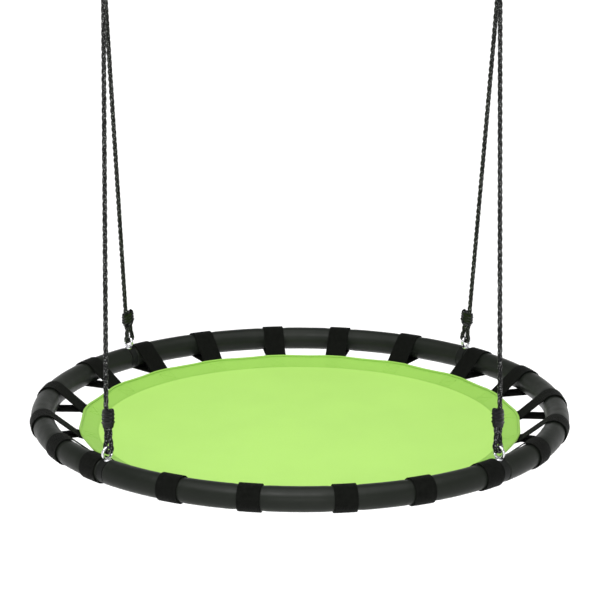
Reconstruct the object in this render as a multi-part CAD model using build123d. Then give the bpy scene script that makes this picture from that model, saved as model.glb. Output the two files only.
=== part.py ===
from build123d import *
from math import asin, cos, degrees, pi, radians, sin, tan
import os

# Saucer nest swing: a padded steel hoop with a fabric saucer strapped inside it, hung on two ropes.
# Millimetres, +Z up, +X along the beam. The origin is midway between the two hanger pins.

# Hoop: four bent tubes plugged into each other under foam sleeves
HOOP_RADIUS = 478.0
TUBE_OD = 25.0
TUBE_WALL = 2.0
SPIGOT_LENGTH = 40.0
SPIGOT_GAP = 0.2
SEAM_OFFSET = 20.0
SLEEVE_OD = 44.0
SLEEVE_GAP = 0.2
QUARTERS = 4
FIRST_EYE = 45.0

# Joint collars between the sleeves, and the eye bolts that go down through them
COLLAR_OD = 42.4
COLLAR_WIDTH = 14.0
COLLAR_REVEAL = 1.0
BOLT_D = 8.0
BOLT_HOLE_GAP = 0.2
EYE_WIRE = 5.5
EYE_INSIDE = 15.0
EYE_NECK = 0.6
FLANGE_OD = 14.0
FLANGE_HEIGHT = 2.0
FLAT_DEPTH = 1.0
NUT_HEAD_OD = 15.0
NUT_HEAD_HEIGHT = 1.6
NUT_BARREL_OD = 10.6
NUT_BARREL_HEIGHT = 11.0
NUT_FLOOR = 1.0
SOCKET_FLATS = 5.0
SOCKET_DEPTH = 1.4
BOLT_END_GAP = 0.5

# Saucer seat
SEAT_RADIUS = 410.0
SEAT_DROP = 18.0
BAND_RUN = 35.0
BAND_FALL = 13.0
SEAT_THICKNESS = 2.5
FLOOR_SAG = 9.0
HEM_CORD = 5.0

# Webbing straps: degrees clockwise from each eye, from the back right eye round
STRAP_DEGREES = (
    (4.2, 22.0, 40.7, 59.2, 76.0),
    (3.8, 21.0, 39.2, 55.8, 73.8),
    (3.6, 17.7, 35.0, 55.4, 76.0),
    (3.7, 20.8, 37.0, 56.0, 72.9),
)
STRAP_WIDTH = 40.0
STRAP_THICKNESS = 2.0
STRAP_GAP = 0.7
STRAP_TAB = 42.0
SEWN_GAP = 0.1

# Hanging ropes and their loops
ROPE_D = 9.0
HANG_X = 352.0
ROPE_DROP = 803.0
ROPE_WIRE_GAP = 0.6
LOOP_WIRE_GAP = 0.8
LOOP_CORNER = 1.24
LOOP_NECK = 16.0
LOOP_NECK_GAP = 0.7
CLAMP_START = 33.0
CLAMP_LENGTH = 34.0
CLAMP_WIDTH = 26.0
CLAMP_DEPTH = 17.0
CLAMP_EDGE = 2.5
CLAMP_ROPE_GAP = 0.15
CLAMP_WEB = 1.2
TAIL_SHORT = 2.0
RIB_COUNT = 3
RIB_PITCH = 7.0
RIB_HEIGHT = 1.8
RIB_WIDTH = 9.0
RIB_PROUD = 1.0

# Hanging rings, snap hooks and their gates
RING_WIRE = 8.0
RING_INSIDE = 42.0
HANGER_PIN = 10.0
HOOK_WIRE = 8.0
HOOK_INSIDE = 20.0
HOOK_LENGTH = 80.0
LINK_GAP = 0.35
GATE_D = 7.6
GATE_END_GAP = 0.4
GATE_PIVOT_RISE = 5.5
GATE_TOP_DROP = 3.0
TONGUE = 3.0
TONGUE_GAP = 0.3
TONGUE_WIDTH = 6.6
NOSE_LENGTH = 6.0
PIVOT_D = 2.5
PIVOT_GAP = 0.05
LATCH_PIN_D = 2.0
LATCH_GAP = 0.35

# Heights that follow from the sizes above
ring_mean = (RING_INSIDE + RING_WIRE) / 2
hook_mean = (HOOK_INSIDE + HOOK_WIRE) / 2
hook_top_z = (HANGER_PIN + HOOK_WIRE) / 2
hook_low_z = hook_top_z - HOOK_LENGTH + HOOK_WIRE
ring_top_z = hook_low_z + (HOOK_WIRE + RING_WIRE) / 2 + LINK_GAP
ring_low_z = ring_top_z - 2 * ring_mean
saddle_radius = (RING_WIRE + ROPE_D) / 2 + ROPE_WIRE_GAP
hoop_z = ring_low_z - ROPE_DROP
eye_mean = (EYE_INSIDE + EYE_WIRE) / 2
loop_radius = (EYE_WIRE + ROPE_D) / 2 + LOOP_WIRE_GAP
flat_z = COLLAR_OD / 2 - FLAT_DEPTH
eye_z = flat_z + FLANGE_HEIGHT + EYE_NECK + eye_mean
UP = Vector(0, 0, 1)


def save(solids, name):
    """Write one named sub-part, of one solid or a group of separate ones."""
    group = solids if isinstance(solids, list) else [solids]
    parts = [s for g in group for s in g.solids()]
    made = Compound(children=parts) if len(parts) > 1 else parts[0]
    export_step(made, f"parts/{name}.step")


def arc_degrees(length):
    """The angle that a length takes up along the hoop."""
    return degrees(length / HOOP_RADIUS)


def hoop_arc(section, start, end):
    """A section drawn about the hoop's centreline, turned round the hoop from start to end."""
    placed = Plane.XZ * Pos(HOOP_RADIUS, hoop_z) * section
    return Rot(0, 0, start) * revolve(placed, axis=Axis.Z, revolution_arc=end - start)


def pipe(outer, inner):
    return Circle(outer) - Circle(inner)


def rod(diameter, low, high, x=0.0, y=0.0):
    """An upright rod between two heights."""
    return Pos(x, y, low) * extrude(Circle(diameter / 2), high - low)


def eye_angles():
    return [FIRST_EYE + k * 360.0 / QUARTERS for k in range(QUARTERS)]


def at_eye(shape, angle):
    """Moves a shape made on the +X side of the hoop round to an eye."""
    return Rot(0, 0, angle) * shape


# ---- Hoop ----


def bolt_hole():
    """The hole for an eye bolt, wider in its lower half for the barrel nut."""
    hole = rod(BOLT_D + 2 * BOLT_HOLE_GAP, hoop_z - SLEEVE_OD, hoop_z + SLEEVE_OD)
    hole += rod(NUT_BARREL_OD + 2 * BOLT_HOLE_GAP, hoop_z - SLEEVE_OD, hoop_z)
    return Pos(HOOP_RADIUS, 0, 0) * hole


def frame_tube(angle):
    """A quarter of the hoop, with a spigot that plugs into the next quarter under its eye bolt."""
    outer = TUBE_OD / 2
    bore = outer - TUBE_WALL
    spigot = bore - SPIGOT_GAP
    start = angle - arc_degrees(SEAM_OFFSET)
    end = start + 360.0 / QUARTERS
    neck = pipe(outer, spigot - TUBE_WALL)
    tube = hoop_arc(pipe(outer, bore), start, end)
    tube += hoop_arc(neck, end - arc_degrees(2 * TUBE_WALL), end)
    tube += hoop_arc(pipe(spigot, spigot - TUBE_WALL), end - arc_degrees(TUBE_WALL), end + arc_degrees(SPIGOT_LENGTH))
    tube -= at_eye(bolt_hole(), angle)
    return tube - at_eye(bolt_hole(), angle + 360.0 / QUARTERS)


def foam_sleeve(angle):
    half = arc_degrees(COLLAR_WIDTH / 2 + COLLAR_REVEAL)
    section = pipe(SLEEVE_OD / 2, TUBE_OD / 2 + SLEEVE_GAP)
    return hoop_arc(section, angle + half, angle + 360.0 / QUARTERS - half)


def joint_collar(angle):
    """A moulded collar over the tube joint, flatted top and bottom for the bolt's flange and the nut's head."""
    half = arc_degrees(COLLAR_WIDTH / 2)
    collar = hoop_arc(pipe(COLLAR_OD / 2, TUBE_OD / 2 + SLEEVE_GAP), -half, half)
    pocket = max(FLANGE_OD, NUT_HEAD_OD) + 1.0
    for side in (1, -1):
        flat = rod(pocket, 0, COLLAR_OD / 2)
        collar -= Pos(HOOP_RADIUS, 0, hoop_z + side * flat_z - (COLLAR_OD / 2 if side < 0 else 0)) * flat
    return at_eye(collar - bolt_hole(), angle)


def eye_bolt(angle):
    """A forged eye on a flanged shank, standing in the hoop's radial plane."""
    centre = Pos(HOOP_RADIUS, 0, hoop_z + eye_z)
    eye = centre * Rot(90, 0, 0) * Torus(eye_mean, EYE_WIRE / 2)
    low = hoop_z - flat_z + NUT_FLOOR + BOLT_END_GAP
    shank = rod(BOLT_D, low, hoop_z + flat_z, HOOP_RADIUS)
    flange = rod(FLANGE_OD, hoop_z + flat_z, hoop_z + flat_z + FLANGE_HEIGHT, HOOP_RADIUS)
    flange = chamfer(flange.edges().group_by(Axis.Z)[-1], 0.6)
    neck = rod(BOLT_D, hoop_z + flat_z, hoop_z + eye_z - eye_mean, HOOP_RADIUS)
    return at_eye(eye + shank + flange + neck, angle)


def barrel_nut(angle):
    """A flat-headed nut with a hexagon socket, its threaded barrel up inside the tubes."""
    head = extrude(Circle(NUT_HEAD_OD / 2), -NUT_HEAD_HEIGHT)
    head = chamfer(head.edges().group_by(Axis.Z)[0], 0.4)
    barrel = extrude(Circle(NUT_BARREL_OD / 2), NUT_BARREL_HEIGHT)
    bore = rod(BOLT_D, NUT_FLOOR, NUT_BARREL_HEIGHT)
    socket = Pos(0, 0, -NUT_HEAD_HEIGHT) * extrude(RegularPolygon(SOCKET_FLATS / 2, 6, major_radius=False), SOCKET_DEPTH)
    return at_eye(Pos(HOOP_RADIUS, 0, hoop_z - flat_z) * (head + barrel - bore - socket), angle)


# ---- Seat and straps, drawn as sections in the hoop's radial plane ----

band_length = (BAND_RUN**2 + BAND_FALL**2) ** 0.5
slope = Vector(-BAND_RUN / band_length, -BAND_FALL / band_length)
under = Vector(BAND_FALL / band_length, -BAND_RUN / band_length)
rim_point = Vector(SEAT_RADIUS, -SEAT_DROP)
fold_point = rim_point + slope * band_length


def turned(section):
    """A section in the radial plane turned right round the hoop's axis."""
    return Pos(0, 0, hoop_z) * revolve(Plane.XZ * section, axis=Axis.Z)


def seat_band():
    """The sloping fabric band, from under the hem down to the fold."""
    start = rim_point + slope * (HEM_CORD / 2 + SEWN_GAP)
    end = fold_point
    deep = under * SEAT_THICKNESS
    return turned(make_face(Polyline(start, end, end + deep, start + deep, close=True)))


def hem_cord():
    """The piped hem that the band is turned over."""
    middle = rim_point + under * (SEAT_THICKNESS - HEM_CORD / 2)
    return turned(Pos(middle.X, middle.Y) * Circle(HEM_CORD / 2))


def seat_floor():
    """The round floor panel, with the slight sag of stretched fabric."""
    edge = fold_point.X - SEWN_GAP
    bowl_radius = (edge**2 + FLOOR_SAG**2) / (2 * FLOOR_SAG)
    half = asin(edge / bowl_radius) / 2
    middle = Vector(bowl_radius * sin(half), bowl_radius * (1 - cos(half)))
    low = Vector(0, fold_point.Y - FLOOR_SAG - SEAT_THICKNESS)
    deep = Vector(0, SEAT_THICKNESS)
    rim = low + Vector(edge, FLOOR_SAG)
    lower = ThreePointArc(low, low + middle, rim)
    upper = ThreePointArc(rim + deep, low + deep + middle, low + deep)
    outline = lower + Line(rim, rim + deep) + upper + Line(low + deep, low)
    return turned(make_face(outline))


def strap(angle):
    """Webbing looped over the sleeve, its two legs meeting in a tab sewn under the band."""
    wrap = SLEEVE_OD / 2 + STRAP_GAP
    root = rim_point + under * (SEAT_THICKNESS + SEWN_GAP) - slope * (HEM_CORD + STRAP_THICKNESS)
    tab_end = root + slope * STRAP_TAB
    meet = root + under * STRAP_THICKNESS
    over = Pos(HOOP_RADIUS, 0) * Circle(wrap + STRAP_THICKNESS)
    inside = Pos(HOOP_RADIUS, 0) * Circle(wrap)
    outer = make_hull((over + Pos(meet.X, meet.Y) * Circle(STRAP_THICKNESS)).edges())
    inner = make_hull((inside + Pos(meet.X, meet.Y) * Circle(STRAP_THICKNESS / 10)).edges())
    deep = under * (2 * STRAP_THICKNESS)
    tab = make_face(Polyline(root, tab_end, tab_end + deep, root + deep, close=True))
    section = outer - inner + (tab - inner)
    return Rot(0, 0, angle) * Pos(0, STRAP_WIDTH / 2, hoop_z) * extrude(Plane.XZ * section, STRAP_WIDTH)


# ---- Ropes ----


def eye_seat(angle):
    """Where a loop bears on its eye: that point of the wire, the rope's pull, and the way across the loop."""
    radial = Vector(cos(radians(angle)), sin(radians(angle)), 0)
    along = Vector(-radial.Y, radial.X, 0)
    side = 1 if radial.X > 0 else -1
    front = 1 if radial.Y > 0 else -1
    centre = radial * HOOP_RADIUS + UP * (hoop_z + eye_z)
    hang = Vector(side * HANG_X, front * saddle_radius, ring_low_z)
    lean = hang - centre
    lean -= along * lean.dot(along)
    bearing = centre + lean.normalized() * eye_mean
    pull = (hang - bearing).normalized()
    across = along if along.X * side > 0 else along * -1
    across = (across - pull * across.dot(pull)).normalized()
    return bearing, pull, across


def loop_points(angle):
    """One end of a rope: its tail in the clamp, round the eye and back up through the clamp."""
    bearing, pull, across = eye_seat(angle)
    corner = loop_radius * LOOP_CORNER
    half = (ROPE_D + CLAMP_WEB) / 2
    neck = (ROPE_D + LOOP_NECK_GAP) / 2
    tail = CLAMP_START + CLAMP_LENGTH - TAIL_SHORT
    down = [(-half, tail), (-half, CLAMP_START), (-neck, LOOP_NECK), (-corner, -loop_radius)]
    back_up = [(corner, -loop_radius), (neck, LOOP_NECK), (half, CLAMP_START)]
    return [bearing + across * a + pull * b for a, b in down + back_up]


def gentle_radius(points, i):
    """The largest arc that two runs leave room for at the point between them."""
    a, b = points[i] - points[i - 1], points[i + 1] - points[i]
    return 0.45 * min(a.length, b.length) / tan(radians(a.get_angle(b) / 2))


def rope_route(side):
    """Up from the front eye, over the hanging ring's lower wire, and down to the back eye."""
    front, back = (-90.0 + side * 45.0, 90.0 - side * 45.0)
    saddle_corner = saddle_radius * 0.7
    over = [Vector(side * HANG_X, y, ring_low_z + saddle_radius) for y in (-saddle_corner, saddle_corner)]
    points = loop_points(front) + over + loop_points(back)[::-1]
    tight = {3: loop_radius, 4: loop_radius, 7: saddle_radius, 8: saddle_radius, 11: loop_radius, 12: loop_radius}
    radii = [tight.get(i) or gentle_radius(points, i) for i in range(1, len(points) - 1)]
    return FilletPolyline(*points, radius=radii), radii


def rope(side, diameter=ROPE_D):
    path, _ = rope_route(side)
    section = Plane(origin=path @ 0, z_dir=path % 0) * Circle(diameter / 2)
    return sweep(section, path=path)


def rope_clamp(angle):
    """A moulded two-hole clamp, ribbed on its outward face, that holds the standing rope and its tail."""
    side = 1 if cos(radians(angle)) > 0 else -1
    bearing, pull, across = eye_seat(angle)
    place = Plane(origin=bearing + pull * CLAMP_START, x_dir=across, z_dir=pull)
    body = extrude(SlotOverall(CLAMP_WIDTH, CLAMP_DEPTH), CLAMP_LENGTH)
    body = fillet(body.edges().group_by(Axis.Z)[0] + body.edges().group_by(Axis.Z)[-1], CLAMP_EDGE)
    outward = Vector(cos(radians(angle)), sin(radians(angle)), 0)
    face = 1 if place.y_dir.dot(outward) > 0 else -1
    for i in range(RIB_COUNT):
        z = CLAMP_LENGTH / 2 + (i - (RIB_COUNT - 1) / 2) * RIB_PITCH
        rib = fillet(Box(RIB_WIDTH, 2 * RIB_PROUD, RIB_HEIGHT).edges(), RIB_HEIGHT / 5)
        body += Pos(0, face * CLAMP_DEPTH / 2, z) * rib
    return place * body - rope(side, ROPE_D + 2 * CLAMP_ROPE_GAP)


# ---- Hanging rings and snap hooks ----


def hanging_ring(side):
    """A welded ring: the hook holds its top wire, and the rope lies over its lower one."""
    return Pos(side * HANG_X, 0, ring_top_z - ring_mean) * Rot(90, 0, 0) * Torus(ring_mean, RING_WIRE / 2)


low_bow_z = hook_low_z + hook_mean
top_bow_z = hook_top_z - hook_mean
pivot_z = low_bow_z + GATE_PIVOT_RISE
gate_top_z = top_bow_z - GATE_TOP_DROP
hinge_end_z = pivot_z - GATE_D / 2 - GATE_END_GAP
nose_end_z = gate_top_z + GATE_END_GAP
latch_z = gate_top_z - NOSE_LENGTH / 2


def tongue(low, high):
    """A flat tongue on the end of the hook's wire, inside the gate's fork."""
    middle = (low + high) / 2
    return Pos(0, hook_mean, middle) * Box(TONGUE, TONGUE_WIDTH, high - low)


def pivot_pin(diameter, z, length):
    return Pos(0, hook_mean, z) * Rot(0, 90, 0) * Cylinder(diameter / 2, length)


def snap_hook(side):
    """The bent wire body: a bow at each end, a spine, and a tongue at each end of the gate's gap."""
    start = Line((0, hook_mean, hinge_end_z), (0, hook_mean, low_bow_z))
    low = ThreePointArc((0, hook_mean, low_bow_z), (0, 0, hook_low_z), (0, -hook_mean, low_bow_z))
    spine = Line((0, -hook_mean, low_bow_z), (0, -hook_mean, top_bow_z))
    top = ThreePointArc((0, -hook_mean, top_bow_z), (0, 0, hook_top_z), (0, hook_mean, top_bow_z))
    end = Line((0, hook_mean, top_bow_z), (0, hook_mean, nose_end_z))
    path = start + low + spine + top + end
    section = Plane(origin=(0, hook_mean, hinge_end_z), z_dir=(0, 0, -1)) * Circle(HOOK_WIRE / 2)
    body = sweep(section, path=path)
    hinge = tongue(hinge_end_z - 1.0, pivot_z) + pivot_pin(TONGUE_WIDTH, pivot_z, TONGUE)
    nose = tongue(nose_end_z - NOSE_LENGTH, nose_end_z + 1.0)
    notch = Pos(0, hook_mean - TONGUE_WIDTH / 2, latch_z) * Box(
        2 * TONGUE, TONGUE_WIDTH, LATCH_PIN_D + 2 * LATCH_GAP
    )
    notch += pivot_pin(LATCH_PIN_D + 2 * LATCH_GAP, latch_z, 2 * TONGUE)
    body += hinge - pivot_pin(PIVOT_D, pivot_z, 2 * TONGUE)
    return Pos(side * HANG_X, 0, 0) * (body + (nose - notch))


def hook_gate(side):
    """The gate bar, forked at the bottom over its pivot and slotted at the top for the nose."""
    bar = rod(GATE_D, pivot_z - GATE_D / 2, gate_top_z, 0, hook_mean)
    round_end = pivot_pin(GATE_D, pivot_z, GATE_D)
    above = Pos(0, hook_mean, pivot_z + HOOK_LENGTH / 2) * Box(GATE_D, GATE_D, HOOK_LENGTH)
    bar = bar & (round_end + above)
    slot_width = TONGUE + 2 * TONGUE_GAP
    fork_top = pivot_z + TONGUE_WIDTH / 2 + 1.0
    nose_low = nose_end_z - NOSE_LENGTH - 1.0
    fork = Pos(0, hook_mean, fork_top - HOOK_LENGTH / 2) * Box(slot_width, 2 * GATE_D, HOOK_LENGTH)
    slot = Pos(0, hook_mean, nose_low + HOOK_LENGTH / 2) * Box(slot_width, 2 * GATE_D, HOOK_LENGTH)
    bar -= fork
    bar -= slot
    bar -= pivot_pin(PIVOT_D + 2 * PIVOT_GAP, pivot_z, 2 * GATE_D)
    return Pos(side * HANG_X, 0, 0) * (bar - pivot_pin(LATCH_PIN_D, latch_z, 2 * GATE_D))


def hinge_pin(side):
    return Pos(side * HANG_X, 0, 0) * pivot_pin(PIVOT_D, pivot_z, GATE_D)


def latch_pin(side):
    """The cross pin in the gate's top that the nose's notch catches."""
    return Pos(side * HANG_X, 0, 0) * pivot_pin(LATCH_PIN_D, latch_z, GATE_D - 1.0)


os.makedirs("parts", exist_ok=True)
sides = {"left": -1, "right": 1}
for name, side in sides.items():
    save(snap_hook(side), f"snap_hook_{name}")
    save(hook_gate(side), f"hook_gate_{name}")
    save(latch_pin(side), f"latch_pin_{name}")
    save(hanging_ring(side), f"hanging_ring_{name}")
    made = rope(side)
    path, radii = rope_route(side)
    ideal = pi * (ROPE_D / 2) ** 2 * path.length
    print(f"rope_{name}: {path.length:.0f} mm, volume {made.volume / ideal:.4f} of section times length")
    print("  bend radii", [round(r, 1) for r in radii])
    save(made, f"rope_{name}")
save([hinge_pin(side) for side in sides.values()], "gate_hinge_pins")

corners = {"back_right": 45.0, "back_left": 135.0, "front_left": 225.0, "front_right": 315.0}
for name, angle in corners.items():
    save(rope_clamp(angle), f"rope_clamp_{name}")
    save(eye_bolt(angle), f"eye_bolt_{name}")
    save(joint_collar(angle), f"joint_collar_{name}")
    save(barrel_nut(angle), f"barrel_nut_{name}")

for name, angle in zip(("back", "left", "front", "right"), eye_angles()):
    save(frame_tube(angle), f"frame_tube_{name}")
    save(foam_sleeve(angle), f"foam_sleeve_{name}")

save(seat_floor(), "seat_floor")
save(seat_band(), "seat_band")
save(hem_cord(), "hem_cord")
count = 0
for angle, offsets in zip(eye_angles(), STRAP_DEGREES):
    for offset in offsets:
        count += 1
        save(strap(angle - offset), f"strap_{count:02d}")
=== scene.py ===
from math import atan2, cos, hypot, pi, radians, sin, sqrt

import bmesh
import bpy
from mathutils import Matrix, Vector


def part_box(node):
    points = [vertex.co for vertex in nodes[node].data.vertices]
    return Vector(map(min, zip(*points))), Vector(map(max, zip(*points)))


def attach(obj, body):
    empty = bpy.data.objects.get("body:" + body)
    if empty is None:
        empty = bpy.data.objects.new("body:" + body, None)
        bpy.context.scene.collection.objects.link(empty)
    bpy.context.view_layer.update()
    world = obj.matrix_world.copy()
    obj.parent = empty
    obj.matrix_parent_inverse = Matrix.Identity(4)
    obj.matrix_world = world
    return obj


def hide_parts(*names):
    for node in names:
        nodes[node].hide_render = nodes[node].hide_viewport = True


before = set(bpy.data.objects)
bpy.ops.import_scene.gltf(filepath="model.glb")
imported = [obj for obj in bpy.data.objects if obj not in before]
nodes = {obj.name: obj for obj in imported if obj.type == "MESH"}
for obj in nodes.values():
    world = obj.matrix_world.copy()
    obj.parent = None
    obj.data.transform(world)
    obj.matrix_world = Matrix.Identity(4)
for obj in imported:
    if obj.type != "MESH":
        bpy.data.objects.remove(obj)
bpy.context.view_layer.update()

SIDES = {"left": -1, "right": 1}
CORNERS = {"back_right": 45, "back_left": 135, "front_left": 225, "front_right": 315}


# ---- Camera ----
# It stands in front of the swing and a little above it, on a long lens, with its top edge below the
# hanging rings.

CAMERA_PLACE = (-0.0747, -4.1787, 0.4609)
CAMERA_TURN = radians(-1.01)
CAMERA_TIP = radians(90 - 15.45)
CAMERA_ROLL = radians(0.24)
CAMERA_LENS = 141.1
CAMERA_SENSOR = 36

camera = bpy.data.objects.new("camera", bpy.data.cameras.new("camera"))
camera.data.lens = CAMERA_LENS
camera.data.sensor_width = CAMERA_SENSOR
camera.matrix_world = (
    Matrix.Translation(CAMERA_PLACE)
    @ Matrix.Rotation(CAMERA_TURN, 4, "Z")
    @ Matrix.Rotation(CAMERA_TIP, 4, "X")
    @ Matrix.Rotation(CAMERA_ROLL, 4, "Z")
)
bpy.context.scene.collection.objects.link(camera)
bpy.context.scene.camera = camera


# ---- Ropes ----
# Two black three-strand laid ropes of spun polypropylene. Each starts in a clamp, turns round a front eye,
# climbs to its hanging ring, lies over the ring's lower wire and comes down to the back eye the same way.

ROPE_LENGTH = 1.866
ROPE_LAY = 0.042
ROPE_STEP = 0.002
ROUTE_STEPS = 40
STRAND_RADIUS = 0.00235
STRAND_OFFSET = 0.0022
STRAND_COUNT = 3
STRAND_ROUNDING = 2
YARNS_ROUND_STRAND = 7
YARN_TURN = 0.024
SHARP_CORNER = 50
LEFT_ROPE_FRONT_HALF = (
    (-0.3335, -0.3135, -0.8036),
    (-0.3329, -0.3261, -0.8330),
    (-0.3336, -0.3320, -0.8490),
    (-0.3285, -0.3453, -0.8693),
    (-0.3432, -0.3330, -0.8750),
    (-0.3390, -0.3274, -0.8511),
    (-0.3404, -0.3198, -0.8359),
    (-0.3406, -0.3132, -0.8202),
    (-0.3513, -0.0248, -0.1390),
    (-0.3520, -0.0083, -0.09515),
)


def new_material(name, colour, roughness):
    """A Principled material with its plain colour and roughness set."""
    material = bpy.data.materials.new(name)
    material.use_nodes = True
    shader = material.node_tree.nodes["Principled BSDF"]
    shader.inputs["Base Color"].default_value = (*colour, 1)
    shader.inputs["Roughness"].default_value = roughness
    return material, material.node_tree, shader


def coordinates(tree, kind="Object"):
    """The place on a piece that a pattern reads."""
    return tree.nodes.new("ShaderNodeTexCoord").outputs[kind]


def add_math(tree, operation, first, second=None):
    """A Math node fed by sockets or plain numbers, and its result."""
    node = tree.nodes.new("ShaderNodeMath")
    node.operation = operation
    for socket, value in zip(node.inputs, (first, second)):
        if isinstance(value, bpy.types.NodeSocket):
            tree.links.new(value, socket)
        elif value is not None:
            socket.default_value = value
    return node.outputs[0]


def add_noise(tree, where, scale, detail=3.0):
    """A cloudy value between 0 and 1."""
    noise = tree.nodes.new("ShaderNodeTexNoise")
    noise.inputs["Scale"].default_value = scale
    noise.inputs["Detail"].default_value = detail
    tree.links.new(where, noise.inputs["Vector"])
    return noise.outputs["Fac"]


def add_ramp(tree, value, low, high, dark, light):
    """A colour that goes from dark to light between two values."""
    ramp = tree.nodes.new("ShaderNodeValToRGB")
    ramp.color_ramp.elements[0].position = low
    ramp.color_ramp.elements[1].position = high
    ramp.color_ramp.elements[0].color = (*dark, 1)
    ramp.color_ramp.elements[1].color = (*light, 1)
    tree.links.new(value, ramp.inputs["Fac"])
    return ramp.outputs["Color"]


def add_spread(tree, value, low, high, to_low, to_high):
    """A value moved from one range to another."""
    spread = tree.nodes.new("ShaderNodeMapRange")
    for name, number in zip(("From Min", "From Max", "To Min", "To Max"), (low, high, to_low, to_high)):
        spread.inputs[name].default_value = number
    tree.links.new(value, spread.inputs["Value"])
    return spread.outputs["Result"]


def add_bump(tree, shader, height, distance, strength=1.0):
    """Feeds a height to the shader's normal, over any bump that is already there."""
    bump = tree.nodes.new("ShaderNodeBump")
    bump.inputs["Distance"].default_value = distance
    bump.inputs["Strength"].default_value = strength
    tree.links.new(height, bump.inputs["Height"])
    if shader.inputs["Normal"].is_linked:
        tree.links.new(shader.inputs["Normal"].links[0].from_socket, bump.inputs["Normal"])
    tree.links.new(bump.outputs["Normal"], shader.inputs["Normal"])


def rope_fibre():
    """Black spun yarn twisted in each strand, with painted grey glints: light spots in the base colour that
    stand for fibres catching the light.
    """
    black = (0.004, 0.0044, 0.0042)
    painted_glint_grey = (0.22, 0.225, 0.22)
    material, tree, shader = new_material("rope_fibre", black, 0.42)
    split = tree.nodes.new("ShaderNodeSeparateXYZ")
    tree.links.new(coordinates(tree, "UV"), split.inputs[0])
    along = add_math(tree, "MULTIPLY", split.outputs["X"], 2 * pi * ROPE_LENGTH / YARN_TURN)
    across = add_math(tree, "MULTIPLY", split.outputs["Y"], 2 * pi * YARNS_ROUND_STRAND)
    yarn = add_math(tree, "SINE", add_math(tree, "ADD", across, along))
    add_bump(tree, shader, yarn, 0.0003, 0.9)
    where = coordinates(tree)
    add_bump(tree, shader, add_noise(tree, where, 1500, 4), 0.0002, 0.7)
    # Painted glints: random grey spots in the base colour stand in for highlights on the black fibres.
    painted_glint_spots = add_noise(tree, where, 420, 2)
    tree.links.new(add_ramp(tree, painted_glint_spots, 0.55, 0.68, black, painted_glint_grey), shader.inputs["Base Color"])
    shader.inputs["Specular IOR Level"].default_value = 0.12
    return material


def add_object(name, mesh, material):
    """A shown object at the origin, smooth but for its corners, with its material on every face."""
    mesh.materials.clear()
    mesh.materials.append(material)
    mesh.shade_smooth()
    mesh.set_sharp_from_angle(angle=radians(SHARP_CORNER))
    obj = bpy.data.objects.new(name, mesh)
    bpy.context.scene.collection.objects.link(obj)
    return obj


def rope_points(corner_x, corner_y):
    """The half route mirrored to the corner with those signs."""
    return [Vector((-corner_x * x, -corner_y * y, z)) for x, y, z in LEFT_ROPE_FRONT_HALF]


def rope_line(side):
    """The points of one rope's line, read from a smooth spline through its route."""
    route = rope_points(side, -1) + rope_points(side, 1)[::-1]
    curve = bpy.data.curves.new("rope_route", "CURVE")
    curve.dimensions = "3D"
    curve.resolution_u = ROUTE_STEPS
    spline = curve.splines.new("NURBS")
    spline.points.add(len(route) - 1)
    for point, place in zip(spline.points, route):
        point.co = (*place, 1)
    spline.order_u = 3
    spline.use_endpoint_u = True
    holder = bpy.data.objects.new("rope_route", curve)
    line = bpy.data.meshes.new_from_object(holder)
    points = [v.co.copy() for v in line.vertices]
    bpy.data.objects.remove(holder)
    return points


def even_steps(points, step):
    """Points a fixed distance apart along a line of closer ones."""
    made = [points[0]]
    left = step
    for a, b in zip(points, points[1:]):
        run = (b - a).length
        while left <= run:
            made.append(a.lerp(b, left / run))
            left += step
        left -= run
    return made


def wound(points, start, offset, lay):
    """A line wound round another one, turning right-handed."""
    normal = Vector((1, 0, 0))
    last = len(points) - 1
    travelled = 0.0
    made = []
    for i, point in enumerate(points):
        ahead = (points[min(i + 1, last)] - points[max(i - 1, 0)]).normalized()
        normal = (normal - ahead * normal.dot(ahead)).normalized()
        travelled += (point - points[max(i - 1, 0)]).length
        turn = start + 2 * pi * travelled / lay
        made.append(point + (normal * cos(turn) + ahead.cross(normal) * sin(turn)) * offset)
    return made


def round_tube(points, radius):
    """A mesh tube with closed ends along a line. Its UV map runs along the tube and round it."""
    curve = bpy.data.curves.new("tube", "CURVE")
    curve.dimensions = "3D"
    curve.bevel_depth = radius
    curve.bevel_resolution = STRAND_ROUNDING
    curve.use_fill_caps = True
    spline = curve.splines.new("POLY")
    spline.points.add(len(points) - 1)
    for point, place in zip(spline.points, points):
        point.co = (*place, 1)
    holder = bpy.data.objects.new("tube", curve)
    mesh = bpy.data.meshes.new_from_object(holder)
    bpy.data.objects.remove(holder)
    return mesh


def joined(meshes, name):
    """Several meshes as one."""
    bm = bmesh.new()
    for mesh in meshes:
        bm.from_mesh(mesh)
    whole = bpy.data.meshes.new(name)
    bm.to_mesh(whole)
    bm.free()
    return whole


fibre = rope_fibre()
for name, side in SIDES.items():
    line = even_steps(rope_line(side), ROPE_STEP)
    strands = [
        round_tube(wound(line, 2 * pi * k / STRAND_COUNT, STRAND_OFFSET, ROPE_LAY), STRAND_RADIUS)
        for k in range(STRAND_COUNT)
    ]
    rope = add_object(f"laid_rope_{name}", joined(strands, f"laid_rope_{name}"), fibre)
    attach(rope, f"ropes_{name}")
    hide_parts(f"rope_{name}")


# ---- Rope clamps ----
# A black moulded clamp above each eye squeezes the standing rope and its tail together. Its two round
# bores give it a waist, and three ribs run round it.

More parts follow.
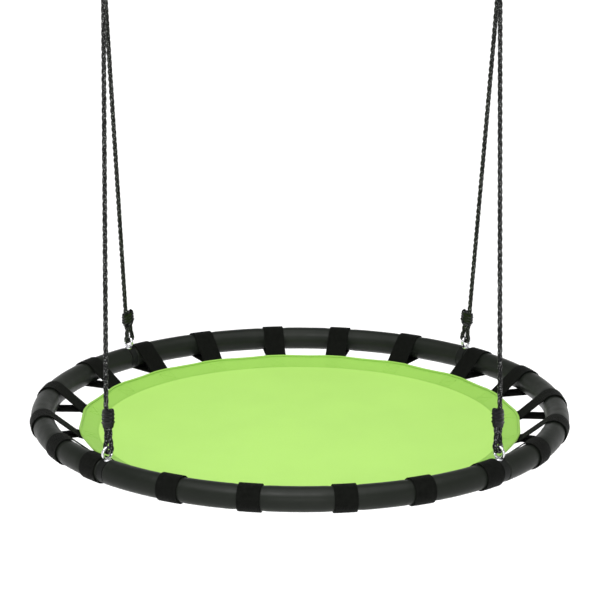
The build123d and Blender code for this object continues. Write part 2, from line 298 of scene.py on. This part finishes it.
CLAMP_HALF_WIDTH = 0.0127
CLAMP_HALF_DEPTH = 0.0083
CLAMP_WAIST = 0.0016
CLAMP_BORE = 0.0048
CLAMP_BORE_SIDES = 24
CLAMP_SIDES = 48
CLAMP_LENGTH = 0.034
CLAMP_RIBS = (0.0105, 0.0170, 0.0235)
CLAMP_WALL = (
    (0.0000, -0.0034),
    (0.0006, -0.0024),
    (0.0022, -0.0018),
    (0.0060, -0.0012),
    (0.0120, -0.0004),
    (0.0285, 0.0000),
    (0.0318, -0.0007),
    (0.0334, -0.0018),
    (0.0340, -0.0030),
)
CLAMP_RIB_SHAPE = (
    (-0.0016, 0.0000),
    (-0.0011, 0.0008),
    (-0.0006, 0.0012),
    (0.0006, 0.0012),
    (0.0011, 0.0008),
    (0.0016, 0.0000),
)
CLAMP_RIB_SINK = 0.0003
CLAMP_SQUARENESS = 0.7
CLAMP_WAIST_POWER = 10


def clamp_rings():
    """Heights up the clamp, with how far its wall stands out there."""
    rings = list(CLAMP_WALL)
    for rib in CLAMP_RIBS:
        rings += [(rib + height, proud - CLAMP_RIB_SINK) for height, proud in CLAMP_RIB_SHAPE]
    return sorted(rings)


def clamp_outline(vert, proud):
    """Moves a point of a round outline onto the clamp's two-lobed one."""
    turn = atan2(vert.co.y, vert.co.x)
    flattened = abs(sin(turn)) ** CLAMP_SQUARENESS * (1 if sin(turn) > 0 else -1)
    waist = CLAMP_WAIST * sin(turn) ** CLAMP_WAIST_POWER
    vert.co.x = (CLAMP_HALF_WIDTH + proud) * cos(turn)
    vert.co.y = (CLAMP_HALF_DEPTH + proud - waist) * flattened


def clamp_body():
    """The closed barrel, standing on its lower end with its long side along X."""
    bm = bmesh.new()
    bmesh.ops.create_circle(bm, segments=CLAMP_SIDES, radius=1)
    ring = bm.edges[:]
    last = 0.0
    for height, proud in clamp_rings():
        if height > 0:
            grown = bmesh.ops.extrude_edge_only(bm, edges=ring)["geom"]
            ring = [g for g in grown if isinstance(g, bmesh.types.BMEdge)]
            verts = [g for g in grown if isinstance(g, bmesh.types.BMVert)]
            bmesh.ops.translate(bm, verts=verts, vec=(0, 0, height - last))
            last = height
        else:
            verts = bm.verts[:]
        for vert in verts:
            clamp_outline(vert, proud)
    bmesh.ops.holes_fill(bm, edges=[e for e in bm.edges if e.is_boundary])
    bmesh.ops.recalc_face_normals(bm, faces=bm.faces)
    mesh = bpy.data.meshes.new("clamp_body")
    bm.to_mesh(mesh)
    bm.free()
    return mesh


def clamp_bores(spacing):
    """The two rope holes as solid bars, longer than the clamp."""
    bm = bmesh.new()
    for way in (-1, 1):
        place = Matrix.Translation((way * spacing / 2, 0, CLAMP_LENGTH / 2))
        bmesh.ops.create_cone(
            bm, cap_ends=True, segments=CLAMP_BORE_SIDES, radius1=CLAMP_BORE, radius2=CLAMP_BORE,
            depth=2 * CLAMP_LENGTH, matrix=place,
        )
    mesh = bpy.data.meshes.new("clamp_bores")
    bm.to_mesh(mesh)
    bm.free()
    return mesh


def bored(body, bores):
    """The body with the bores cut out of it."""
    whole = bpy.data.objects.new("clamp_whole", body)
    cutter = bpy.data.objects.new("clamp_cutter", bores)
    for obj in (whole, cutter):
        bpy.context.scene.collection.objects.link(obj)
    cut = whole.modifiers.new("bores", "BOOLEAN")
    cut.operation = "DIFFERENCE"
    cut.object = cutter
    bpy.context.view_layer.update()
    ready = whole.evaluated_get(bpy.context.evaluated_depsgraph_get())
    mesh = bpy.data.meshes.new_from_object(ready)
    for obj in (whole, cutter):
        bpy.data.objects.remove(obj)
    return mesh


def clamp_plastic():
    """Glossy black nylon with faint flow marks."""
    material, tree, shader = new_material("clamp_plastic", (0.005, 0.0055, 0.0055), 0.25)
    where = coordinates(tree)
    marks = add_noise(tree, where, 300, 4)
    tree.links.new(add_spread(tree, marks, 0.3, 0.7, 0.1, 0.2), shader.inputs["Roughness"])
    add_bump(tree, shader, add_noise(tree, where, 900, 3), 0.0002, 0.12)
    shader.inputs["Specular IOR Level"].default_value = 0.2
    return material


def signs(angle):
    """Which side of the swing a corner is on, and which end."""
    return (1 if cos(radians(angle)) > 0 else -1), (1 if sin(radians(angle)) > 0 else -1)


plastic = clamp_plastic()
clamps = {"left": [], "right": []}
for corner, angle in CORNERS.items():
    corner_x, corner_y = signs(angle)
    tail_top, tail_low, _, _, _, _, standing_low, *_ = rope_points(corner_x, corner_y)
    across = (standing_low - tail_low).normalized()
    up = (tail_top - tail_low).normalized()
    across = (across - up * across.dot(up)).normalized()
    middle = (tail_low + standing_low) / 2
    mesh = bored(clamp_body(), clamp_bores((standing_low - tail_low).length))
    turned = Matrix((across, up.cross(across), up)).transposed().to_4x4()
    mesh.transform(Matrix.Translation(middle) @ turned)
    clamp = add_object(f"moulded_clamp_{corner}", mesh, plastic)
    side_name = "right" if corner_x > 0 else "left"
    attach(clamp, f"ropes_{side_name}")
    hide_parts(f"rope_clamp_{corner}")
    clamps[side_name].append(clamp)


# ---- Eye bolts and barrel nuts ----
# Forged eyes with a flanged shank, zinc plated. Each goes down through the joint collar and both tubes
# into a flat-headed barrel nut that comes up from underneath.

STEEL_DULLED = 0.78


def bright_steel(name, colour, roughness):
    """Plated steel with fine polishing marks and slightly clouded patches."""
    material, tree, shader = new_material(name, colour, roughness)
    shader.inputs["Metallic"].default_value = 1.0
    where = coordinates(tree)
    cloud = add_noise(tree, where, 90, 4)
    dull = tuple(STEEL_DULLED * c for c in colour)
    tree.links.new(add_ramp(tree, cloud, 0.35, 0.7, colour, dull), shader.inputs["Base Color"])
    fine = add_noise(tree, where, 700, 3)
    shine = add_spread(tree, fine, 0.3, 0.7, roughness - 0.06, roughness + 0.12)
    tree.links.new(shine, shader.inputs["Roughness"])
    add_bump(tree, shader, fine, 0.00008, 0.35)
    return material


def dress(material, slot_name, *names):
    """Gives CAD nodes their finish."""
    for node_name in names:
        node = nodes[node_name]
        node.data.materials.clear()
        node.data.materials.append(material)


eye_steel = bright_steel("eye_steel", (0.74, 0.75, 0.77), 0.2)
bolt_steel = bright_steel("bolt_steel", (0.66, 0.67, 0.68), 0.3)
dress(eye_steel, "eye_steel", *[f"eye_bolt_{c}" for c in CORNERS])
dress(bolt_steel, "bolt_steel", *[f"barrel_nut_{c}" for c in CORNERS])


# ---- Hoop tubes and joint collars ----
# The hoop is four bent galvanised steel tubes, plugged together under the eyes. A black moulded collar
# covers each joint, between the ends of two sleeves.


def galvanised():
    """Dull grey zinc with soft spangles."""
    material, tree, shader = new_material("tube_steel", (0.5, 0.51, 0.52), 0.45)
    shader.inputs["Metallic"].default_value = 0.9
    spangle = tree.nodes.new("ShaderNodeTexVoronoi")
    spangle.inputs["Scale"].default_value = 160
    tree.links.new(coordinates(tree), spangle.inputs["Vector"])
    tone = add_ramp(tree, spangle.outputs["Distance"], 0.0, 0.8, (0.42, 0.43, 0.44), (0.58, 0.59, 0.6))
    tree.links.new(tone, shader.inputs["Base Color"])
    return material


def collar_plastic():
    """Matt black moulding with a fine spark texture."""
    material, tree, shader = new_material("collar_plastic", (0.006, 0.007, 0.006), 0.5)
    where = coordinates(tree)
    add_bump(tree, shader, add_noise(tree, where, 1400, 2), 0.00015, 0.6)
    shader.inputs["Specular IOR Level"].default_value = 0.15
    return material


TUBE_NAMES = ("back", "left", "front", "right")
dress(galvanised(), "tube_steel", *[f"frame_tube_{q}" for q in TUBE_NAMES])
dress(collar_plastic(), "collar_plastic", *[f"joint_collar_{c}" for c in CORNERS])


# ---- Foam sleeves ----
# Four closed-cell foam tubes with a smooth charcoal skin, slit along the inner underside to go over the
# steel. The straps squeeze the foam a little where they wrap it.

TUBE_LOW, TUBE_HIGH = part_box("frame_tube_back")
SLEEVE_LOW, SLEEVE_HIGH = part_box("foam_sleeve_back")
HOOP_Z = (TUBE_LOW.z + TUBE_HIGH.z) / 2
TUBE_RADIUS = (TUBE_HIGH.z - TUBE_LOW.z) / 2
HOOP_RADIUS = TUBE_HIGH.y - TUBE_RADIUS
SLEEVE_RADIUS = (SLEEVE_HIGH.z - SLEEVE_LOW.z) / 2
SLEEVE_FIT = 0.0005
SLEEVE_FROM_EYE = 0.008
SLEEVE_SIDES = 56
SLEEVE_STEPS = 260
SLEEVE_ROUND = 0.0022
SLIT_TURN = -125
SLIT_DEPTH = 0.0011
SLIT_HALF_TURN = 7
STRAP_SPOTS = (
    (4.2, 22.0, 40.7, 59.2, 76.0),
    (3.8, 21.0, 39.2, 55.8, 73.8),
    (3.6, 17.7, 35.0, 55.4, 76.0),
    (3.7, 20.8, 37.0, 56.0, 72.9),
)
STRAP_WIDTH = 0.040
SQUEEZE = 0.0006
SQUEEZE_SHOULDER = 0.014
STRAP_ANGLES = [angle - spot for angle, spots in zip(CORNERS.values(), STRAP_SPOTS) for spot in spots]


def turn_apart(a, b):
    """Degrees between two directions, from 0 to 180."""
    return abs((a - b + 180) % 360 - 180)


def nearest_strap(x, y):
    """How far along the hoop a point is from the middle of the nearest strap."""
    here = atan2(y, x) * 180 / pi
    return min(turn_apart(here, a) for a in STRAP_ANGLES) * pi / 180 * HOOP_RADIUS


def eased(value):
    """0 to 1 with a soft start and stop."""
    t = min(max(value, 0.0), 1.0)
    return t * t * (3 - 2 * t)


def round_spine(vert, scale):
    """Moves a point towards the hoop's centreline."""
    flat = Vector((vert.co.x, vert.co.y, 0)).normalized() * HOOP_RADIUS
    spine = Vector((flat.x, flat.y, HOOP_Z))
    vert.co = spine + (vert.co - spine) * scale


def sleeve_mesh(start, span):
    """The skin of one sleeve, closed down to the steel at both ends."""
    bm = bmesh.new()
    upright = Matrix.Translation((HOOP_RADIUS, 0, HOOP_Z)) @ Matrix.Rotation(pi / 2, 4, "X")
    place = Matrix.Rotation(start, 4, "Z") @ upright
    bmesh.ops.create_circle(bm, segments=SLEEVE_SIDES, radius=SLEEVE_RADIUS, matrix=place)
    bmesh.ops.spin(
        bm, geom=bm.verts[:] + bm.edges[:], cent=(0, 0, 0), axis=(0, 0, 1), angle=span, steps=SLEEVE_STEPS
    )
    ends = [e for e in bm.edges if e.is_boundary]
    grown = bmesh.ops.extrude_edge_only(bm, edges=ends)["geom"]
    for vert in [g for g in grown if isinstance(g, bmesh.types.BMVert)]:
        round_spine(vert, (TUBE_RADIUS + SLEEVE_FIT) / SLEEVE_RADIUS)
    bmesh.ops.bevel(
        bm, geom=ends, offset=SLEEVE_ROUND, segments=4, profile=0.5, affect="EDGES", material=-1
    )
    slit = radians(SLIT_TURN)
    for vert in bm.verts:
        out = hypot(vert.co.x, vert.co.y) - HOOP_RADIUS
        rise = vert.co.z - HOOP_Z
        off_strap = nearest_strap(vert.co.x, vert.co.y) - STRAP_WIDTH / 2
        pinch = SQUEEZE * (1 - eased(off_strap / SQUEEZE_SHOULDER))
        off_slit = abs((atan2(rise, out) - slit + pi) % (2 * pi) - pi)
        groove = SLIT_DEPTH * (1 - eased(off_slit / radians(SLIT_HALF_TURN)))
        round_spine(vert, 1 - (pinch + groove) / SLEEVE_RADIUS)
    bmesh.ops.recalc_face_normals(bm, faces=bm.faces)
    mesh = bpy.data.meshes.new("sleeve")
    bm.to_mesh(mesh)
    bm.free()
    return mesh


def foam_skin():
    """Charcoal foam skin: satin, finely pebbled, with slow changes of shade."""
    material, tree, shader = new_material("foam_sleeve", (0.009, 0.011, 0.008), 0.4)
    where = coordinates(tree)
    cloud = add_noise(tree, where, 14, 3)
    shade = add_ramp(tree, cloud, 0.3, 0.7, (0.008, 0.010, 0.0075), (0.0115, 0.0135, 0.0105))
    tree.links.new(shade, shader.inputs["Base Color"])
    rubbed = add_spread(tree, add_noise(tree, where, 60, 4), 0.3, 0.7, 0.36, 0.46)
    tree.links.new(rubbed, shader.inputs["Roughness"])
    add_bump(tree, shader, add_noise(tree, where, 1100, 3), 0.0002, 0.3)
    add_bump(tree, shader, add_noise(tree, where, 45, 2), 0.0006, 0.25)
    shader.inputs["Specular IOR Level"].default_value = 0.12
    return material


skin = foam_skin()
edge_turn = SLEEVE_FROM_EYE / HOOP_RADIUS
for name, angle in zip(TUBE_NAMES, CORNERS.values()):
    mesh = sleeve_mesh(radians(angle) + edge_turn, pi / 2 - 2 * edge_turn)
    sleeve = add_object(f"padded_sleeve_{name}", mesh, skin)
    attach(sleeve, "seat")
    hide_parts(f"foam_sleeve_{name}")


# ---- Saucer seat ----
# Lime-green coated polyester: a round floor, and round it a darker band that slopes up to a piped hem.
# The straps pull the rim out where they are sewn, and it runs almost straight between them.

RIM_RADIUS = 0.410
RIM_DROP = 0.018
BAND_RUN = 0.035
BAND_FALL = 0.013
CLOTH = 0.0022
CLOTH_PITCH = 0.0011
CLOTH_DEPTH = 0.00012
CLOTH_SHADED = 0.965
FLOOR_SAG = 0.009
HEM_RADIUS = 0.0025
HEM_SIDES = 12
ROUND_STEPS = 360
BAND_STEPS = 8
FLOOR_STEPS = 28
STITCH_PITCH = 0.0042
STITCH_LENGTH = 0.0031
STITCH_WIDTH = 0.0007
STITCH_FROM_FOLD = 0.0030
STITCH_FROM_HEM = 0.0025
TAB_STITCHES = (0.0085, 0.0305)
TAB_STITCH_HALF = 0.0145
BAND_LENGTH = hypot(BAND_RUN, BAND_FALL)
BAND_DOWN = Vector((-BAND_RUN, 0, -BAND_FALL)) / BAND_LENGTH
BAND_UNDER = Vector((BAND_FALL, 0, -BAND_RUN)) / BAND_LENGTH
RIM = Vector((RIM_RADIUS, 0, HOOP_Z - RIM_DROP))
FOLD = RIM + BAND_DOWN * BAND_LENGTH


def spun(points):
    """A line in the radial plane turned right round the hoop's axis."""
    bm = bmesh.new()
    verts = [bm.verts.new(p) for p in points]
    for a, b in zip(verts, verts[1:]):
        bm.edges.new((a, b))
    bmesh.ops.spin(
        bm, geom=bm.verts[:] + bm.edges[:], cent=(0, 0, 0), axis=(0, 0, 1), angle=2 * pi,
        steps=ROUND_STEPS, use_merge=True,
    )
    bmesh.ops.remove_doubles(bm, verts=bm.verts, dist=0.00001)
    return bm


def drawn(x, y):
    """How far the rim is inside its circle at a point, where it runs straight from strap to strap."""
    here = atan2(y, x) * 180 / pi
    strap_half = STRAP_WIDTH / 2 / RIM_RADIUS * 180 / pi
    ahead = max(min((angle - here) % 360 for angle in STRAP_ANGLES) - strap_half, 0)
    behind = max(min((here - angle) % 360 for angle in STRAP_ANGLES) - strap_half, 0)
    return -radians(ahead) * radians(behind) * RIM_RADIUS / 2


def scallop(bm):
    """Draws the rim in between the straps, less and less towards the fold."""
    for vert in bm.verts:
        radius = hypot(vert.co.x, vert.co.y)
        near_rim = eased((radius - FOLD.x) / BAND_RUN)
        pull = drawn(vert.co.x, vert.co.y) * near_rim
        outward = Vector((vert.co.x, vert.co.y, 0)) / max(radius, 1e-6)
        vert.co += outward * pull * BAND_RUN / BAND_LENGTH
        vert.co.z += pull * BAND_FALL / BAND_LENGTH


def thicken(bm, thickness):
    """Gives a cloth surface its thickness, below it."""
    bmesh.ops.recalc_face_normals(bm, faces=bm.faces)
    bm.normal_update()
    bm.faces.ensure_lookup_table()
    if bm.faces[0].normal.z < 0:
        bmesh.ops.reverse_faces(bm, faces=bm.faces)
    bmesh.ops.solidify(bm, geom=bm.faces[:], thickness=thickness)


def finished(bm, name):
    """The bmesh as a mesh with its faces pointing outwards."""
    bmesh.ops.recalc_face_normals(bm, faces=bm.faces)
    mesh = bpy.data.meshes.new(name)
    bm.to_mesh(mesh)
    bm.free()
    return mesh


def add_stitch(bm, turn, down, heading):
    """One thread stitch on the band, that far round it and down from the rim. At heading 0 it runs round."""
    middle = RIM + BAND_DOWN * down
    pull = drawn(middle.x * cos(turn), middle.x * sin(turn)) * eased(1 - down / BAND_LENGTH)
    lying = Matrix((BAND_DOWN, (0, 1, 0), -BAND_UNDER)).transposed().to_4x4()
    place = Matrix.Rotation(turn, 4, "Z") @ Matrix.Translation(middle - BAND_DOWN * pull) @ lying
    shape = Matrix.Rotation(heading, 4, "Z") @ Matrix.Diagonal((STITCH_WIDTH, STITCH_LENGTH, STITCH_WIDTH, 1))
    bmesh.ops.create_cube(bm, size=1, matrix=place @ shape)


def add_stitch_row(bm, down):
    """Stitches right round the band."""
    count = round(2 * pi * RIM_RADIUS / STITCH_PITCH)
    for i in range(count):
        add_stitch(bm, 2 * pi * i / count, down, 0)


def add_tab_stitches(bm, angle):
    """The box and cross that sew one strap's tab under the band."""
    low, high = TAB_STITCHES
    half = TAB_STITCH_HALF
    corners = [(low, -half), (low, half), (high, half), (high, -half)]
    box = [(corners[k], corners[(k + 1) % 4]) for k in range(4)]
    lines = box + [(corners[0], corners[2]), (corners[1], corners[3])]
    for (down_a, side_a), (down_b, side_b) in lines:
        count = round(hypot(down_b - down_a, side_b - side_a) / STITCH_PITCH)
        for i in range(count):
            t = (i + 0.5) / count
            turn = radians(angle) + (side_a + (side_b - side_a) * t) / RIM_RADIUS
            add_stitch(bm, turn, down_a + (down_b - down_a) * t, -atan2(down_b - down_a, side_b - side_a))


def lay_uv(bm):
    """A UV map in metres: round the seat, and down the cloth from the rim."""
    layer = bm.loops.layers.uv.new("UVMap")
    for face in bm.faces:
        centre = face.calc_center_median()
        middle = atan2(centre.y, centre.x)
        for loop in face.loops:
            place = loop.vert.co
            turn = (atan2(place.y, place.x) - middle + pi) % (2 * pi) - pi + middle
            down = (RIM.xz - Vector((hypot(place.x, place.y), place.z))).length
            loop[layer].uv = (turn * RIM_RADIUS, down)


def add_weave(tree, shader, where, pitch, depth):
    """Plain weave: threads over and under each other along two directions."""
    split = tree.nodes.new("ShaderNodeSeparateXYZ")
    tree.links.new(where, split.inputs[0])
    warp = add_math(tree, "SINE", add_math(tree, "MULTIPLY", split.outputs["X"], 2 * pi / pitch))
    weft = add_math(tree, "SINE", add_math(tree, "MULTIPLY", split.outputs["Y"], 2 * pi / pitch))
    add_bump(tree, shader, add_math(tree, "MULTIPLY", warp, weft), depth, 0.6)


def seat_cloth(name, colour, kind):
    """Coated woven polyester with a soft sheen and faint slow changes of shade."""
    material, tree, shader = new_material(name, colour, 0.55)
    add_weave(tree, shader, coordinates(tree, kind), CLOTH_PITCH, CLOTH_DEPTH)
    cloud = add_noise(tree, coordinates(tree), 9, 3)
    deep = tuple(CLOTH_SHADED * c for c in colour)
    tree.links.new(add_ramp(tree, cloud, 0.35, 0.65, deep, colour), shader.inputs["Base Color"])
    shader.inputs["Specular IOR Level"].default_value = 0.25
    shader.inputs["Sheen Weight"].default_value = 0.06
    return material


FLOOR_GREEN = (0.37, 0.64, 0.124)
BAND_GREEN = (0.257, 0.489, 0.074)
HEM_GREEN = (0.25, 0.475, 0.072)
bowl_radius = (FOLD.x**2 + FLOOR_SAG**2) / (2 * FLOOR_SAG)
floor_line = []
for i in range(FLOOR_STEPS + 1):
    reach = FOLD.x * i / FLOOR_STEPS
    sag = FLOOR_SAG - (bowl_radius - sqrt(bowl_radius**2 - reach**2))
    floor_line.append(Vector((reach, 0, FOLD.z - sag)))
floor_bm = spun(floor_line)
thicken(floor_bm, CLOTH)
floor_cloth = seat_cloth("seat_fabric", FLOOR_GREEN, "Object")
panel = add_object("floor_panel", finished(floor_bm, "seat_floor"), floor_cloth)
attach(panel, "seat")
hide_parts("seat_floor")

band_line = [RIM.lerp(FOLD, i / BAND_STEPS) for i in range(BAND_STEPS + 1)]
band_bm = spun(band_line)
scallop(band_bm)
thicken(band_bm, CLOTH)
add_stitch_row(band_bm, BAND_LENGTH - STITCH_FROM_FOLD)
add_stitch_row(band_bm, HEM_RADIUS + STITCH_FROM_HEM)
for angle in STRAP_ANGLES:
    add_tab_stitches(band_bm, angle)
lay_uv(band_bm)
band_cloth = seat_cloth("band_fabric", BAND_GREEN, "UV")
band = add_object("sloping_band", finished(band_bm, "seat_band"), band_cloth)
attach(band, "seat")
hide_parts("seat_band")

hem_middle = RIM + BAND_UNDER * (CLOTH - HEM_RADIUS)
hem_bm = bmesh.new()
hem_place = Matrix.Translation(hem_middle) @ Matrix.Rotation(pi / 2, 4, "X")
bmesh.ops.create_circle(hem_bm, segments=HEM_SIDES, radius=HEM_RADIUS, matrix=hem_place)
bmesh.ops.spin(
    hem_bm, geom=hem_bm.verts[:] + hem_bm.edges[:], cent=(0, 0, 0), axis=(0, 0, 1), angle=2 * pi,
    steps=ROUND_STEPS, use_merge=True,
)
scallop(hem_bm)
hem_cloth = seat_cloth("hem_fabric", HEM_GREEN, "Object")
hem = add_object("piped_hem", finished(hem_bm, "hem"), hem_cloth)
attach(hem, "seat")
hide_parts("hem_cord")


# ---- Webbing straps ----
# Twenty loops of black polyester webbing, 40 mm wide. Each goes over its sleeve, its two ends meet under
# the band, and a box of stitches sews them there.

STRAP_THICKNESS = 0.0019
STRAP_PITCH = 0.002
STRAP_CLEAR = 0.0007
STRAP_TAB = 0.042
STRAP_EDGE = 0.0005
SEAM_GAP = 0.0001
ROOT_OUT = 0.007
ARC_STEPS = 40
LEG_STEPS = 8
WIDTH_STEPS = 8
RIB_PITCH = 0.0017
WARP_PITCH = 0.0012
CHEVRON_WIDTH = 0.005
CAD_CLOTH = 0.0025


def strap_line():
    """The middle of the webbing in the radial plane: along the tab, over the sleeve and back."""
    root = RIM + BAND_UNDER * (CAD_CLOTH + SEAM_GAP) - BAND_DOWN * ROOT_OUT
    spine = Vector((HOOP_RADIUS, 0, HOOP_Z))
    wrap = SLEEVE_RADIUS + STRAP_CLEAR + STRAP_PITCH / 2
    meet = root + BAND_UNDER * STRAP_PITCH
    toward = meet - spine
    open_turn = atan2(toward.z, toward.x)
    reach = pi / 2 - atan2(wrap, sqrt(toward.length**2 - wrap**2))
    upper = open_turn - reach
    lower = open_turn + reach - 2 * pi
    upper_root = root + BAND_UNDER * STRAP_PITCH * 0.5
    lower_root = root + BAND_UNDER * STRAP_PITCH * 1.5
    over = [upper + (lower - upper) * i / ARC_STEPS for i in range(ARC_STEPS + 1)]
    arc = [spine + Vector((cos(t), 0, sin(t))) * wrap for t in over]
    line = [upper_root + BAND_DOWN * STRAP_TAB, upper_root]
    line += [upper_root.lerp(arc[0], i / LEG_STEPS) for i in range(1, LEG_STEPS)]
    line += arc
    line += [arc[-1].lerp(lower_root, i / LEG_STEPS) for i in range(1, LEG_STEPS)]
    line += [lower_root, lower_root + BAND_DOWN * STRAP_TAB]
    return line


def strap_mesh(angle):
    """The webbing as a ribbon with a UV map in metres, bent to the hoop."""
    bm = bmesh.new()
    mark = bm.verts.layers.float.new("along")
    layer = bm.loops.layers.uv.new("UVMap")
    line = strap_line()
    half = STRAP_WIDTH / 2
    verts = [bm.verts.new(p - Vector((0, half, 0))) for p in line]
    for a, b in zip(verts, verts[1:]):
        bm.edges.new((a, b))
    travelled = 0.0
    for i, vert in enumerate(verts):
        travelled += (line[i] - line[max(i - 1, 0)]).length
        vert[mark] = travelled
    edges = bm.edges[:]
    for _ in range(WIDTH_STEPS):
        grown = bmesh.ops.extrude_edge_only(bm, edges=edges)["geom"]
        edges = [g for g in grown if isinstance(g, bmesh.types.BMEdge)]
        moved = [g for g in grown if isinstance(g, bmesh.types.BMVert)]
        bmesh.ops.translate(bm, verts=moved, vec=(0, STRAP_WIDTH / WIDTH_STEPS, 0))
    for face in bm.faces:
        for loop in face.loops:
            loop[layer].uv = (loop.vert.co.y, loop.vert[mark])
    for vert in bm.verts:
        vert.co.x = sqrt(vert.co.x**2 - vert.co.y**2)
    bmesh.ops.rotate(bm, verts=bm.verts, cent=(0, 0, 0), matrix=Matrix.Rotation(radians(angle), 3, "Z"))
    return finished(bm, "strap")


def webbing():
    """Black webbing: ribs across it, a herringbone in them, and a satin shine."""
    material, tree, shader = new_material("webbing", (0.004, 0.0045, 0.0035), 0.62)
    split = tree.nodes.new("ShaderNodeSeparateXYZ")
    tree.links.new(coordinates(tree, "UV"), split.inputs[0])
    chevron = add_math(tree, "PINGPONG", split.outputs["X"], CHEVRON_WIDTH)
    lean = add_math(tree, "ADD", split.outputs["Y"], chevron)
    rib = add_math(tree, "SINE", add_math(tree, "MULTIPLY", lean, 2 * pi / RIB_PITCH))
    add_bump(tree, shader, rib, 0.0003, 0.8)
    warp = add_math(tree, "SINE", add_math(tree, "MULTIPLY", split.outputs["X"], 2 * pi / WARP_PITCH))
    add_bump(tree, shader, warp, 0.0002, 0.5)
    cloud = add_noise(tree, coordinates(tree), 120, 4)
    shade = add_ramp(tree, cloud, 0.3, 0.75, (0.003, 0.0035, 0.0026), (0.0055, 0.0062, 0.005))
    tree.links.new(shade, shader.inputs["Base Color"])
    shader.inputs["Specular IOR Level"].default_value = 0.05
    return material


black_webbing = webbing()
for number, angle in enumerate(STRAP_ANGLES, 1):
    strap = add_object(f"webbing_strap_{number:02d}", strap_mesh(angle), black_webbing)
    shell = strap.modifiers.new("thickness", "SOLIDIFY")
    shell.thickness = STRAP_THICKNESS
    shell.offset = 0
    soft_edge = strap.modifiers.new("edges", "BEVEL")
    soft_edge.width = STRAP_EDGE
    soft_edge.segments = 2
    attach(strap, "seat")
    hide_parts(f"strap_{number:02d}")


# ---- Hanging rings and snap hooks ----
# A welded ring of 8 mm wire carries each rope and hangs in a bent-wire snap hook. The hook's forked gate
# turns on a pivot pin, and a cross pin in its top catches the hook's nose.

ring_steel = bright_steel("ring_steel", (0.7, 0.71, 0.73), 0.22)
hook_steel = bright_steel("hook_steel", (0.72, 0.73, 0.75), 0.24)
dress(ring_steel, "ring_steel", "hanging_ring_left", "hanging_ring_right")
dress(hook_steel, "hook_steel", "gate_hinge_pins")
for side in SIDES:
    dress(hook_steel, "hook_steel", f"snap_hook_{side}", f"hook_gate_{side}", f"latch_pin_{side}")


# ---- Floor and lights ----
# A plain white studio floor under the swing, lit evenly by a very broad sun from above, with a softbox
# overhead for glints, a low one in front and a bright horizon.

FLOOR_Z = -2.4
FLOOR_SIZE = 90
SUN_POWER = 2.6
SUN_BREADTH = radians(70)
SUN_TILT = radians(12)

ground_bm = bmesh.new()
ground_place = Matrix.Translation((0, 0, FLOOR_Z))
bmesh.ops.create_grid(ground_bm, x_segments=2, y_segments=2, size=FLOOR_SIZE / 2, matrix=ground_place)
studio_white, _, ground_shader = new_material("studio_floor", (0.95, 0.95, 0.95), 0.9)
ground_shader.inputs["Emission Color"].default_value = (1, 1, 1, 1)
ground_shader.inputs["Emission Strength"].default_value = 0.15
ground = add_object("studio_floor", finished(ground_bm, "studio_floor"), studio_white)


def add_light(name, place, size, power):
    """A softbox that faces the middle of the hoop."""
    lamp = bpy.data.lights.new(name, "AREA")
    lamp.shape = "RECTANGLE"
    lamp.size, lamp.size_y = size
    lamp.energy = power
    obj = bpy.data.objects.new(name, lamp)
    facing = (Vector((0, 0, HOOP_Z)) - Vector(place)).to_track_quat("-Z", "Y").to_matrix().to_4x4()
    obj.matrix_world = Matrix.Translation(place) @ facing
    bpy.context.scene.collection.objects.link(obj)


daylight = bpy.data.lights.new("daylight", "SUN")
daylight.energy = SUN_POWER
daylight.angle = SUN_BREADTH
sun = bpy.data.objects.new("daylight", daylight)
sun.matrix_world = Matrix.Rotation(SUN_TILT, 4, "X")
bpy.context.scene.collection.objects.link(sun)
add_light("overhead", (-0.4, -1.6, 1.5), (1.6, 0.9), 38)
add_light("front", (0, -4.4, 0.2), (2.4, 0.5), 34)

world = bpy.data.worlds.new("studio")
world.use_nodes = True
bpy.context.scene.world = world
sky = world.node_tree.nodes["Background"]
direction = world.node_tree.nodes.new("ShaderNodeSeparateXYZ")
world.node_tree.links.new(coordinates(world.node_tree, "Generated"), direction.inputs[0])
glow = add_ramp(world.node_tree, direction.outputs["Z"], 0.12, 0.55, (1.0, 1.0, 1.0), (0.16, 0.16, 0.16))
world.node_tree.links.new(glow, sky.inputs["Color"])
bpy.context.scene.view_settings.view_transform = "Standard"
